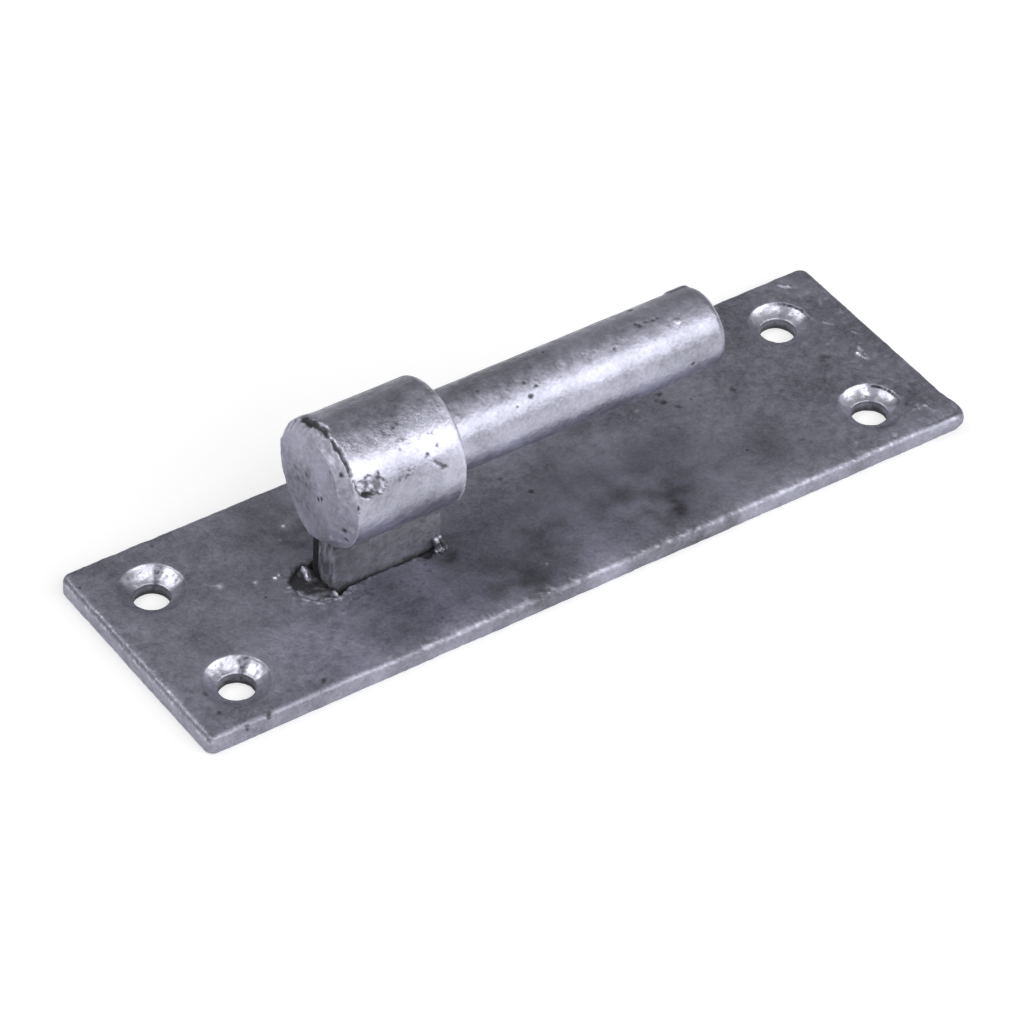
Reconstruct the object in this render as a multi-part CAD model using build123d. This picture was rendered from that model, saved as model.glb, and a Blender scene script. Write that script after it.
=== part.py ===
from build123d import *
import os

os.makedirs("parts", exist_ok=True)

# Gate hinge pin on a screw-on back plate, hot-dip galvanised steel.
# X runs along the plate, the way the pin points. Z stands out of the plate.
# The origin is the middle of the plate's back face. All sizes are millimetres.

# Back plate, a length of flat bar
plate_length = 169.0
plate_width = 52.0
plate_thickness = 4.0
plate_corner_radius = 2.0
plate_edge_radius = 0.8

# The screw holes and the slot are set out a little off the middle of the bar
set_out_x = -1.1
set_out_y = -0.7

# Countersunk screw holes, one near each corner
hole_radius = 3.5
hole_spacing_x = 142.0
hole_spacing_y = 29.0
countersink_radius = 6.8
countersink_depth = 1.6

# Hinge pin, the round bar that the gate's strap drops over
pin_radius = 8.0
pin_length = 61.2
pin_axis_height = 26.6
pin_tip_radius = 2.0
pin_root_radius = 2.0

# Boss, the thick round behind the pin, and the shoulder that the strap rests on
shoulder_x = -20.7
boss_radius = 12.5
boss_length = 25.9
boss_end_chamfer = 2.1
boss_rim_radius = 1.2

# Neck, the flat under the boss that goes down through the plate
neck_setback = 1.6
neck_thickness = 7.5
neck_edge_radius = 0.8
neck_flare_radius = 2.5
tenon_recess = 0.9

# Slot in the plate round the neck, burnt wider at the end away from the pin
slot_clearance = 0.8
slot_corner_radius = 0.5
pocket_radius = 4.9
pocket_flare = 0.7
pocket_flare_depth = 1.5

# Welds
root_weld_height = 1.6
pocket_weld_height = 1.9
weld_recess = 0.1
tack_radius = 1.7
tack_lift = 0.7
tack_inset = 0.9

# Places worked out from the sizes above
boss_end_x = shoulder_x - boss_length
tip_x = shoulder_x + pin_length
neck_length = boss_length - neck_setback
neck_middle_x = shoulder_x - neck_length / 2
neck_end_x = shoulder_x - neck_length
neck_near_y = set_out_y - neck_thickness / 2
through = 3 * plate_thickness
edge_limit = 0.3 * plate_thickness
touch = 0.01

on_top = (Align.CENTER, Align.CENTER, Align.MIN)


def upright_block(length, width, height, corner_radius):
    """A block standing on the ground plane, with its upright edges rounded."""
    block = Box(length, width, height, align=on_top)
    return fillet(block.edges().filter_by(Axis.Z), corner_radius)


def ring_edges(body, place_x, radius):
    """The round edges of a turned body at one place along it."""
    rings = body.edges().filter_by(GeomType.CIRCLE)
    rings = rings.filter_by(lambda ring: abs(ring.arc_center.X - place_x) < touch)
    return rings.filter_by(lambda ring: abs(ring.radius - radius) < touch)


def screw_hole():
    """One hole with its countersink, as the solid that is cut away."""
    drill = Cylinder(hole_radius, through)
    sink = Cone(hole_radius, countersink_radius, countersink_depth, align=on_top)
    return drill + Pos(0, 0, plate_thickness - countersink_depth) * sink


def slot_room():
    """The straight part of the slot, right through the plate."""
    length = neck_length + 2 * slot_clearance
    width = neck_thickness + 2 * slot_clearance
    room = upright_block(length, width, through, slot_corner_radius)
    return Pos(neck_middle_x, set_out_y, -plate_thickness) * room


def pocket_room():
    """The round pocket burnt out at the slot's end, wider at the face."""
    drill = Cylinder(pocket_radius, through)
    mouth = Cone(pocket_radius, pocket_radius + pocket_flare, pocket_flare_depth, align=on_top)
    mouth = Pos(0, 0, plate_thickness - pocket_flare_depth) * mouth
    return Pos(neck_end_x, set_out_y, 0) * (drill + mouth)


def make_back_plate():
    """Flat bar with rounded corners and edges, four screw holes and the slot."""
    plate = upright_block(plate_length, plate_width, plate_thickness, plate_corner_radius)
    outline = plate.faces().sort_by(Axis.Z)[-1].edges() + plate.faces().sort_by(Axis.Z)[0].edges()
    plate = fillet(outline, min(plate_edge_radius, edge_limit))
    for corner in GridLocations(hole_spacing_x, hole_spacing_y, 2, 2):
        plate -= Pos(set_out_x, set_out_y, 0) * corner * screw_hole()
    return plate - slot_room() - pocket_room()


def turned_bar():
    """Boss and pin as one turned length, before the neck is added."""
    boss = Cylinder(boss_radius, boss_length, align=on_top)
    pin = Cylinder(pin_radius, boss_length + pin_length, align=on_top)
    bar = Pos(boss_end_x, 0, pin_axis_height) * Rot(0, 90, 0) * (boss + pin)
    bar = fillet(ring_edges(bar, shoulder_x, pin_radius), pin_root_radius)
    bar = fillet(ring_edges(bar, shoulder_x, boss_radius), boss_rim_radius)
    bar = fillet(ring_edges(bar, tip_x, pin_radius), pin_tip_radius)
    return chamfer(ring_edges(bar, boss_end_x, boss_radius), boss_end_chamfer)


def neck_section():
    """The neck's section across the pin: a flat that flares into the round boss."""
    boss_circle = Pos(0, pin_axis_height) * Circle(boss_radius)
    flat = Pos(set_out_y, 0) * Rectangle(
        neck_thickness, pin_axis_height, align=(Align.CENTER, Align.MIN)
    )
    section = boss_circle + flat
    inner_corners = section.vertices().filter_by(
        lambda corner: plate_thickness < corner.Y < pin_axis_height - touch
    )
    section = fillet(inner_corners, neck_flare_radius)
    kept = Pos(set_out_y, tenon_recess) * Rectangle(
        2 * boss_radius,
        pin_axis_height - boss_radius + boss_end_chamfer - tenon_recess,
        align=(Align.CENTER, Align.MIN),
    )
    return section & kept


def make_neck():
    """The neck and its tenon, with the flare stopping short of its soft edges."""
    up_into_boss = pin_axis_height - boss_radius + boss_end_chamfer
    flat = upright_block(neck_length, neck_thickness, up_into_boss - tenon_recess, neck_edge_radius)
    flare_length = neck_length - 2 * neck_edge_radius
    across = Plane(
        (neck_end_x + neck_edge_radius, 0, 0), x_dir=(0, 1, 0), z_dir=(1, 0, 0)
    )
    flare = extrude(across * neck_section(), flare_length)
    return Pos(neck_middle_x, set_out_y, tenon_recess) * flat + flare


def make_hinge_pin():
    """Pin, boss and neck, forged as one piece."""
    return turned_bar() + make_neck()


def make_root_weld(pin):
    """Weld metal that fills the slot round the tenon, with a plug in the pocket."""
    sheet = Box(plate_length, plate_width, root_weld_height - weld_recess, align=on_top)
    plug = Box(plate_length, plate_width, pocket_weld_height - weld_recess, align=on_top)
    ring = slot_room() & (Pos(0, 0, weld_recess) * sheet)
    filled = pocket_room() & (Pos(0, 0, weld_recess) * plug)
    return ring + filled - pin


def make_tack_weld(pin):
    """A small lump of weld in the corner between neck and plate, by the pin."""
    place = Pos(shoulder_x - tack_inset, neck_near_y, plate_thickness + tack_lift)
    lump = place * Sphere(tack_radius)
    face = Box(plate_length, plate_width, plate_thickness, align=on_top)
    return lump - face - pin


hinge_pin = make_hinge_pin()

sub_parts = {
    "back_plate": make_back_plate(),
    "hinge_pin": hinge_pin,
    "root_weld": make_root_weld(hinge_pin),
    "tack_weld": make_tack_weld(hinge_pin),
}

for name, shape in sub_parts.items():
    export_step(shape, f"parts/{name}.step")
    print(name, len(shape.solids()), round(shape.volume, 2))
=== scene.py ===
# %% [markdown]
# # A galvanised gate hinge pin
# This lesson dresses one piece of gate hardware: a thick steel pin on a boss, carried by a short flat
# neck that goes through a slot in a back plate. It was welded up and then dipped in molten zinc, so
# every surface has the same soft, mottled, slightly lumpy skin.
#
# The solid model was made first and is loaded here as a frame. Each dressed piece stands where its
# solid stands. X runs along the plate, the way the pin points, Y runs across it, and Z stands out of
# it. Lengths are millimetres, as on a drawing, and become metres only when a mesh is made.

# %% Load the frame
import math

import bmesh
import bpy
import numpy as np
from mathutils import Matrix, Vector, geometry, noise
from mathutils.kdtree import KDTree


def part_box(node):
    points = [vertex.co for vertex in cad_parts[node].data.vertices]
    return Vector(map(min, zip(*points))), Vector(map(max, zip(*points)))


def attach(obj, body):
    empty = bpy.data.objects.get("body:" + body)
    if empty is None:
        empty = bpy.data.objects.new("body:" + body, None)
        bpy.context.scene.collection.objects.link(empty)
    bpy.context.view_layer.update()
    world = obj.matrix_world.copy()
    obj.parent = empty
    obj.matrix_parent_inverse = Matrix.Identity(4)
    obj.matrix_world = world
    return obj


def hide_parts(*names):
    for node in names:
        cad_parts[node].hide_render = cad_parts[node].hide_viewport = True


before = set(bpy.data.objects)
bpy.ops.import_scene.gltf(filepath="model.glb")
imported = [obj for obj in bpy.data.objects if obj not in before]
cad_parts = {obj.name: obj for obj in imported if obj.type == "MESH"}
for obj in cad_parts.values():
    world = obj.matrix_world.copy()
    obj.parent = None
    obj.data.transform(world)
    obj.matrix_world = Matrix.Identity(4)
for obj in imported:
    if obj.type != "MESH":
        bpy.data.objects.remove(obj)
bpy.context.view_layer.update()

mm = 0.001
noise.seed_set(3)  # without a fixed seed, the ragged outlines would differ from run to run


def add_object(name, data):
    """A new object in the scene, for a mesh, a lamp or a camera."""
    thing = bpy.data.objects.new(name, data)
    bpy.context.scene.collection.objects.link(thing)
    return thing


# %% [markdown]
# ## The camera
# The picture was taken with a long lens, which keeps parallel edges almost parallel, from the near left
# and about forty degrees above the plate. The camera is described by its place and by three angles: the
# azimuth it looks from, its height as an angle, and a small roll, because the plate isn't quite level.

# %% Camera
camera_place = Vector((-460.84, -636.53, 691.61))
camera_azimuth = math.radians(-35.79)
camera_elevation = math.radians(41.40)
camera_roll = math.radians(2.34)
camera_lens = 197.1


def camera_axes(azimuth, elevation, roll):
    """The camera's right, up and backward directions, as the columns of a rotation."""
    flat = Vector((math.cos(azimuth), math.sin(azimuth), 0))
    back = Vector((
        math.sin(azimuth) * math.cos(elevation),
        -math.cos(azimuth) * math.cos(elevation),
        math.sin(elevation),
    ))
    steep = back.cross(flat)
    right = math.cos(roll) * flat + math.sin(roll) * steep
    up = math.cos(roll) * steep - math.sin(roll) * flat
    return Matrix((right, up, back)).transposed()


lens = bpy.data.cameras.new("product_camera")
lens.lens = camera_lens
lens.sensor_width = 36
lens.clip_end = 20
camera = add_object("product_camera", lens)
axes = camera_axes(camera_azimuth, camera_elevation, camera_roll)
camera.matrix_world = Matrix.Translation(camera_place * mm) @ axes.to_4x4()
bpy.context.scene.camera = camera
print("camera stands", round(camera_place.length), "mm from the middle of the plate")

# %% [markdown]
# ## The light
# Zinc has almost no colour of its own under soft light: it shows what is round it. The bright band along
# the pin is the mirror image of one long soft lamp on the near side, blurred by the grain. The plate
# looks dark because it mirrors the dim far side of the room, and the lower flanks look light because
# they mirror the white table. Two small lamps, overhead and to the left, make the countersinks shine.

# %% Room and lamps
room_brightness = 0.265
room = bpy.data.worlds.new("dim_studio")
bpy.context.scene.world = room
room.use_nodes = True
walls = room.node_tree.nodes["Background"].inputs
walls["Color"].default_value = (0.98, 0.98, 1.0, 1)
walls["Strength"].default_value = room_brightness


def soft_lamp(name, direction, distance, width, height, brightness):
    """A flat lamp that faces the object from one direction, with its width along the pin."""
    data = bpy.data.lights.new(name, "AREA")
    data.shape = "RECTANGLE"
    data.size = width
    data.size_y = height
    data.energy = brightness * math.pi * width * height
    lamp = add_object(name, data)
    back = Vector(direction).normalized()
    side = (Vector((1, 0, 0)) - back.x * back).normalized()
    turn = Matrix((side, back.cross(side), back)).transposed()
    lamp.matrix_world = Matrix.Translation(back * distance) @ turn.to_4x4()
    print(name, "stands at", [round(value, 2) for value in back * distance])


soft_lamp("long_lamp", (0.30, -0.74, 0.60), 1.6, 3.0, 1.3, 2.0)
soft_lamp("top_lamp", (0.10, -0.11, 0.99), 1.7, 0.75, 0.28, 4.0)
soft_lamp("left_lamp", (-0.34, 0.36, 0.87), 1.7, 0.7, 0.7, 4.0)

# %% [markdown]
# ## The table
# A plain table carries the plate and its soft shadow. Lamps that made it as white as in the picture
# would burn out the zinc too. So the table has a little glow of its own, for the camera and for mirror
# images alone, which lifts it to white and leaves the shadow in it.

# %% A node helper


class Nodes:
    """Adds shader nodes to one material, and joins them in the same call."""

    def __init__(self, name):
        self.material = bpy.data.materials.new(name)
        self.material.use_nodes = True
        self.tree = self.material.node_tree
        self.shader = self.tree.nodes["Principled BSDF"]

    def add(self, kind, joined=None, **settings):
        """A node with its sockets set to numbers, or joined to other nodes' sockets."""
        node = self.tree.nodes.new(kind)
        for key, value in settings.items():
            setattr(node, key, value)
        for socket, value in (joined or {}).items():
            self.join(value, node.inputs[socket])
        return node

    def join(self, value, socket):
        """Sets a socket to a number or colour, or joins another node's socket to it."""
        if isinstance(value, bpy.types.NodeSocket):
            self.tree.links.new(value, socket)
        else:
            socket.default_value = value

    def shade(self, **sockets):
        """Sets or joins the shader's own sockets, named with _ for a space."""
        for name, value in sockets.items():
            self.join(value, self.shader.inputs[name.replace("_", " ")])

    def remap(self, value, low, high, to_low=0.0, to_high=1.0):
        """Stretches a value from one range to another and stops at its ends."""
        node = self.add("ShaderNodeMapRange", {0: value, 1: low, 2: high, 3: to_low, 4: to_high})
        return node.outputs[0]

    def work_out(self, operation, first, second):
        """One value from two."""
        return self.add("ShaderNodeMath", {0: first, 1: second}, operation=operation).outputs[0]

    def plus(self, first, second):
        """The sum of two values."""
        return self.work_out("ADD", first, second)

    def times(self, first, second):
        """The product of two values."""
        return self.work_out("MULTIPLY", first, second)

    def cloud(self, place, size, detail, rough=0.55):
        """Noise in lumps of a size in millimetres."""
        joined = {"Vector": place, "Scale": 1 / size, "Detail": detail, "Roughness": rough}
        return self.add("ShaderNodeTexNoise", joined).outputs[0]

    def blend(self, factor, first, second):
        """Mixes two colours."""
        joined = {"Factor": factor, 6: first, 7: second}
        return self.add("ShaderNodeMix", joined, data_type="RGBA").outputs[2]


# %% Table
table_size = 3.0
table_grey = 0.60
table_glow = 0.53


def white_table():
    """A flat sheet under the object, which isn't part of it."""
    half = table_size / 2
    sheet = bpy.data.meshes.new("table")
    corners = [(-half, -half, 0), (half, -half, 0), (half, half, 0), (-half, half, 0)]
    sheet.from_pydata(corners, [], [(0, 1, 2, 3)])
    n = Nodes("table_white")
    n.shade(Base_Color=(table_grey, table_grey, table_grey, 1), Roughness=0.9)
    n.shade(Specular_IOR_Level=0.1, Emission_Color=(1, 1, 1, 1))
    ray = n.add("ShaderNodeLightPath").outputs
    seen = n.work_out("MAXIMUM", ray["Is Camera Ray"], ray["Is Glossy Ray"])
    seen = n.work_out("MAXIMUM", seen, ray["Is Transmission Ray"])
    n.shade(Emission_Strength=n.times(seen, table_glow))
    sheet.materials.append(n.material)
    add_object("table", sheet)


white_table()
print("table", table_size, "m wide, grey", table_grey, "and glow", table_glow)

bpy.context.scene.view_settings.view_transform = "Standard"

# %% [markdown]
# ## Loops, skins and flat faces
# Nearly everything on this part is a stack of closed loops: the plate's rounded edge, a countersunk
# hole, the boss and pin, the neck. A skin joins each loop to the next one with four-sided faces. The
# flat of the plate has holes in it, so triangles fill it: loose points are scattered between the loops
# of its border and its holes, more of them where the zinc is lumpy, and a triangulation joins them all.

# %% Loops


def rounded_rectangle(length, width, radius, along, across, bend):
    """A closed loop of (x, y), with a set number of points on the long sides, short sides and corners."""
    half_x, half_y = length / 2 - radius, width / 2 - radius
    corners = ((1, 1), (-1, 1), (-1, -1), (1, -1))
    loop = []
    for quarter, (side_x, side_y) in enumerate(corners):
        first = math.radians(90 * quarter)
        last = math.radians(90 * quarter + 90)
        for turn in np.linspace(first, last, bend, endpoint=False):
            x, y = radius * math.cos(turn), radius * math.sin(turn)
            loop.append((side_x * half_x + x, side_y * half_y + y))
        next_x, next_y = corners[(quarter + 1) % 4]
        bow = np.array((radius * math.cos(last), radius * math.sin(last)))
        here = np.array((side_x * half_x, side_y * half_y)) + bow
        there = np.array((next_x * half_x, next_y * half_y)) + bow
        steps = across if quarter % 2 else along
        for share in np.linspace(0, 1, steps, endpoint=False):
            loop.append(tuple(here + share * (there - here)))
    return np.array(loop)


def circle(centre_x, centre_y, radius, count):
    """A round loop of (x, y)."""
    turn = np.linspace(0, 2 * math.pi, count, endpoint=False)
    return np.stack([centre_x + radius * np.cos(turn), centre_y + radius * np.sin(turn)], axis=1)


def at_height(loop, height):
    """A loop of (x, y) lifted to one height, or to a height for each of its points."""
    return np.column_stack([loop, np.broadcast_to(height, len(loop))])


# %% Skins and flat faces


def skin(loops):
    """Four-sided faces between loops that all have as many points."""
    count = len(loops[0])
    faces = []
    for low in range(0, count * (len(loops) - 1), count):
        for step in range(count):
            ahead, high = (step + 1) % count, low + count
            faces.append((low + step, low + ahead, high + ahead, high + step))
    return np.concatenate(loops), faces


def scatter(zones):
    """Loose points on a shaken grid. A later zone takes the place of what lies under it."""
    shake = np.random.default_rng(7)
    points = np.empty((0, 2))
    for x_low, x_high, y_low, y_high, spacing in zones:
        under = (points[:, 0] > x_low) & (points[:, 0] < x_high)
        under &= (points[:, 1] > y_low) & (points[:, 1] < y_high)
        across, along = np.meshgrid(np.arange(x_low, x_high, spacing), np.arange(y_low, y_high, spacing))
        grid = np.stack([across.ravel(), along.ravel()], axis=1)
        grid += shake.uniform(-0.3, 0.3, grid.shape) * spacing
        points = np.vstack([points[~under], grid])
    return points


def inside(points, loop):
    """Which points of (x, y) lie inside a closed loop."""
    found = np.zeros(len(points), dtype=bool)
    x, y = points[:, 0], points[:, 1]
    for (x_1, y_1), (x_2, y_2) in zip(loop, np.roll(loop, -1, axis=0)):
        if y_1 != y_2:
            crosses = (y_1 > y) != (y_2 > y)
            found ^= crosses & (x < (x_2 - x_1) * (y - y_1) / (y_2 - y_1) + x_1)
    return found


def away_from(points, loops, gap):
    """The points that keep a gap from every point of the loops."""
    fixed = np.concatenate(loops)
    tree = KDTree(len(fixed))
    for index, (x, y) in enumerate(fixed):
        tree.insert((x, y, 0), index)
    tree.balance()
    return np.array([p for p in points if tree.find((p[0], p[1], 0))[2] > gap])


def flat_face(border, openings, zones, gap=0.3):
    """Triangles between a flat border loop and the loops of its openings, through scattered points."""
    height = border[0, 2]
    border, openings = border[:, :2], [opening[:, :2] for opening in openings]
    loose = scatter(zones)
    loose = loose[inside(loose, border)]
    for opening in openings:
        loose = loose[~inside(loose, opening)]
    loose = away_from(loose, [border] + openings, gap)
    flat, edges = [], []
    for loop in [border] + openings:
        first, count = len(flat), len(loop)
        flat += [Vector(point) for point in loop]
        edges += [(first + step, first + (step + 1) % count) for step in range(count)]
    flat += [Vector(point) for point in loose]
    points, _, faces, _, _, _ = geometry.delaunay_2d_cdt(flat, edges, [], 0, 1e-6)
    points = np.array([tuple(point) for point in points])
    middles = np.array([points[list(face)].mean(axis=0) for face in faces])
    kept = inside(middles, border)
    for opening in openings:
        kept &= ~inside(middles, opening)
    return at_height(points, height), [face for face, keep in zip(faces, kept) if keep]


# %% [markdown]
# ## From points to a piece
# A piece is made in three steps. Its skins and flat faces are joined into one mesh, and points that fall
# together are welded. Then relief moves each point in or out along its normal, as zinc, pits and hammer
# marks do. Last, the piece gets its material and hangs under the body's empty, and the solid it stands
# for is hidden.

# %% Making a piece
weld_distance = 0.004


def make_piece(name, parts):
    """One smooth-shaded mesh object from several skins and flat faces, welded where they meet."""
    points, faces = [], []
    for part_points, part_faces in parts:
        first = len(points)
        points += [tuple(np.array(point) * mm) for point in part_points]
        faces += [tuple(first + index for index in face) for face in part_faces]
    mesh = bpy.data.meshes.new(name)
    mesh.from_pydata(points, [], faces)
    work = bmesh.new()
    work.from_mesh(mesh)
    bmesh.ops.remove_doubles(work, verts=work.verts, dist=weld_distance * mm)
    bmesh.ops.recalc_face_normals(work, faces=work.faces)
    work.to_mesh(mesh)
    work.free()
    mesh.shade_smooth()
    print(name, "has", len(mesh.vertices), "points and", len(mesh.polygons), "faces")
    return add_object(name, mesh)


def read(piece, what):
    """Three numbers for each point of a piece, its place or its normal."""
    flat = np.empty(3 * len(piece.data.vertices))
    piece.data.vertices.foreach_get(what, flat)
    return flat.reshape(-1, 3)


def places(piece):
    """The piece's points, in millimetres."""
    return read(piece, "co") / mm


def facings(piece):
    """The direction in which the surface faces at each point."""
    return read(piece, "normal")


def put_back(piece, points):
    """Gives the piece its moved points."""
    piece.data.vertices.foreach_set("co", (points * mm).ravel())
    piece.data.update()


def relief(piece, heights):
    """Moves each point along its normal, outwards where the height is above zero."""
    put_back(piece, places(piece) + facings(piece) * np.asarray(heights)[:, None])


def note(piece, **layers):
    """Keeps numbers for each point, from 0 to 1, for a material to read by their names."""
    for name, values in layers.items():
        layer = piece.data.attributes.new(name, "FLOAT", "POINT")
        layer.data.foreach_set("value", np.clip(values, 0, 1).astype(np.float32))


def stand_for(piece, node, material):
    """Gives a finished piece its material, hangs it under the body's empty and hides its solid."""
    piece.data.materials.append(material)
    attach(piece, "root")
    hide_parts(node)


# %% Soft noise and soft steps


def wander(points, size, seed, octaves=3):
    """Soft noise at each point, about -1 to 1, in lumps about `size` millimetres across."""
    shift = Vector((7.3, 3.1, 5.7)) * seed
    return np.array([noise.fractal(Vector(point) / size + shift, 1.0, 2.0, octaves) for point in points])


def ease(values, low, high):
    """0 below low, 1 above high, and a soft step between. It runs backwards if low is above high."""
    share = np.clip((np.asarray(values, dtype=float) - low) / (high - low), 0, 1)
    return share * share * (3 - 2 * share)


def band(values, low, rise, fall, high):
    """0 outside low and high, 1 between rise and fall, and soft steps between."""
    return ease(values, low, rise) * ease(values, high, fall)


def ridge(values, width):
    """1 where the values are 0, and a soft slope to 0 on both sides."""
    return np.exp(-(values / width) ** 2)


def strongest(layers):
    """The strongest of several layers of marks at each point."""
    return np.maximum.reduce(list(layers))


# %% Marks


def streak(points, start, end, radius):
    """1 on the line between two places and 0 from its radius on, like a scratch or a run of zinc."""
    start, end = np.array(start, dtype=float), np.array(end, dtype=float)
    run = end - start
    share = np.clip((points - start) @ run / max(run @ run, 1e-9), 0, 1)
    distance = np.linalg.norm(points - start - share[:, None] * run, axis=1)
    return np.clip(1 - (distance / radius) ** 2, 0, 1) ** 1.5


def dome(points, centre, radius):
    """1 at a centre and 0 from its radius on, like a drop seen from above."""
    return streak(points, centre, centre, radius)


def around(points, centre_x, centre_y):
    """How far each point lies from an axis, and in which direction, in degrees."""
    x, y = points[:, 0] - centre_x, points[:, 1] - centre_y
    return np.hypot(x, y), np.degrees(np.arctan2(y, x))


def shaken(points, reach):
    """The points moved a little by fine noise, so that a round mark placed on them comes out ragged."""
    return points + reach * np.array([noise.noise_vector(Vector(point) / 0.7) for point in points])


# %% [markdown]
# ## The zinc
# Hot-dip zinc has clouds a centimetre or two wide, where the coat froze thicker or thinner, a fine
# grain, and here and there a pinhole. Three sizes of noise give these. They change the colour, the
# roughness and a bump height, because on metal it is the bent reflection that shows a grain. Three
# numbers kept on the mesh's points steer it from place to place: a stain darkens the metal, both for
# flux and soot and as painted shade in hollows, gaps and undersides; a brightness lightens it and makes
# it less rough, as painted highlights and glints; and a mattness marks broken or hammered metal.

# %% The zinc material


def zinc(name, dark, light, roughness, grain_height):
    """Clouded, grainy hot-dip zinc between two colours."""
    n = Nodes(name)
    where = n.add("ShaderNodeTexCoord").outputs["Object"]
    place = n.add("ShaderNodeVectorMath", {0: where, "Scale": 1000.0}, operation="SCALE").outputs[0]
    clouds = n.remap(n.cloud(place, 13.0, 5.0), 0.36, 0.64)
    flecks = n.cloud(place, 2.0, 4.0, 0.62)
    speckle = n.cloud(place, 0.65, 3.0, 0.6)
    tone = n.plus(n.times(clouds, 0.48), n.times(n.remap(flecks, 0.33, 0.67), 0.22))
    tone = n.plus(tone, n.times(n.remap(speckle, 0.32, 0.68), 0.30))
    colour = n.blend(tone, (*dark, 1), (*light, 1))
    cells = n.add("ShaderNodeTexVoronoi", {"Vector": place, "Scale": 1 / 5.5})
    pinholes = n.remap(cells.outputs["Distance"], 0.035, 0.075, 1.0, 0.0)
    chance = n.add("ShaderNodeSeparateColor", {0: cells.outputs["Color"]}).outputs[0]
    pinholes = n.times(pinholes, n.remap(chance, 0.55, 0.6))
    colour = n.blend(n.times(pinholes, 0.7), colour, (0.05, 0.05, 0.055, 1))
    stain, bright, matt = (
        n.add("ShaderNodeAttribute", attribute_name=layer).outputs["Fac"]
        for layer in ("stain", "bright", "matt")
    )
    # The stain darkens the colour towards near black, for soot and flux and as painted shade. Bright
    # lightens it and lowers the roughness, as painted highlights and glints.
    stain = n.remap(n.plus(stain, n.remap(flecks, 0.3, 0.7, -0.14, 0.14)), 0.1, 0.9)
    colour = n.blend(n.times(stain, 0.85), colour, (0.04, 0.04, 0.037, 1))
    colour = n.blend(bright, colour, (0.82, 0.82, 0.93, 1))
    dull = n.remap(flecks, 0.3, 0.7, roughness - 0.07, roughness + 0.08)
    for layer, share in ((stain, 0.25), (bright, -0.16), (matt, 0.3)):
        dull = n.plus(dull, n.times(layer, share))
    height = n.plus(n.times(flecks, 1.5), n.times(speckle, 0.8))
    height = n.plus(height, n.times(pinholes, -0.5))
    strength = n.remap(bright, 0.2, 0.9, 1.0, 0.4)
    bump = n.add("ShaderNodeBump", {"Strength": strength, "Distance": grain_height * mm, "Height": height})
    n.shade(Base_Color=colour, Metallic=1.0, Roughness=dull, Normal=bump.outputs[0])
    print(name, "made with", len(n.tree.nodes), "nodes")
    return n.material


plate_zinc = zinc("plate_zinc", (0.18, 0.18, 0.22), (0.53, 0.53, 0.64), 0.50, 0.065)
forged_zinc = zinc("forged_zinc", (0.26, 0.26, 0.31), (0.66, 0.66, 0.79), 0.38, 0.075)
# The neck's zinc is a darker, rougher copy of the bar's; its darker colour is painted shade under the boss.
shaded_neck_zinc = zinc("shaded_neck_zinc", (0.17, 0.17, 0.19), (0.48, 0.48, 0.54), 0.58, 0.12)
weld_zinc = zinc("weld_zinc", (0.24, 0.24, 0.28), (0.58, 0.58, 0.68), 0.38, 0.12)

# %% [markdown]
# ## The back plate
# The plate is a length of rolled flat bar. Its edges are rounded by the rolls and softened by the zinc,
# so they catch a thin bright line. Four screw holes are countersunk from the front. The drill wandered
# a little at the pin's end, so those two countersinks have a small step on their outer side.

# %% Sizes of the plate, read from its solid
plate_low, plate_high = (np.array(corner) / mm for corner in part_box("back_plate"))
plate_length, plate_width, plate_thickness = plate_size = plate_high - plate_low
front_round, back_round = 1.15, 0.55
corner_round = 2.0
set_out_x, set_out_y = -1.1, -0.7
hole_spacing_x, hole_spacing_y = 142.0, 29.0
print("plate", plate_size.round(2), "mm")

# %% The rolled edge


def plate_loop(inset):
    """The plate's outline, moved inwards."""
    length, width = plate_length - 2 * inset, plate_width - 2 * inset
    return rounded_rectangle(length, width, corner_round - inset, 400, 122, 8)


def quarter_turn(radius):
    """How far in and how far down each loop of a rounded edge lies."""
    turns = [math.radians(angle) for angle in (0, 15, 30, 45, 60, 75, 90)]
    return [(radius * (1 - math.sin(turn)), radius * (1 - math.cos(turn))) for turn in turns]


def rolled_edge():
    """Loops from the front face, round the edge, to the back face."""
    loops = [at_height(plate_loop(into), plate_thickness - drop) for into, drop in quarter_turn(front_round)]
    for height in np.linspace(plate_thickness - front_round, back_round, 5)[1:-1]:
        loops.append(at_height(plate_loop(0), height))
    loops += [at_height(plate_loop(into), drop) for into, drop in quarter_turn(back_round)[::-1]]
    return loops


edge_loops = rolled_edge()
print("rolled edge:", len(edge_loops), "loops of", len(edge_loops[0]), "points")

# %% Countersunk holes
hole_radius = 3.5
countersink_radius = 6.8
countersink_depth = 1.6
hole_steps = 110


def countersink_rim(turn):
    """The rim's radius at an angle: the zinc has closed it a little on two sides."""
    return countersink_radius - 0.5 * np.sin(turn - math.radians(50)) ** 2


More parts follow.
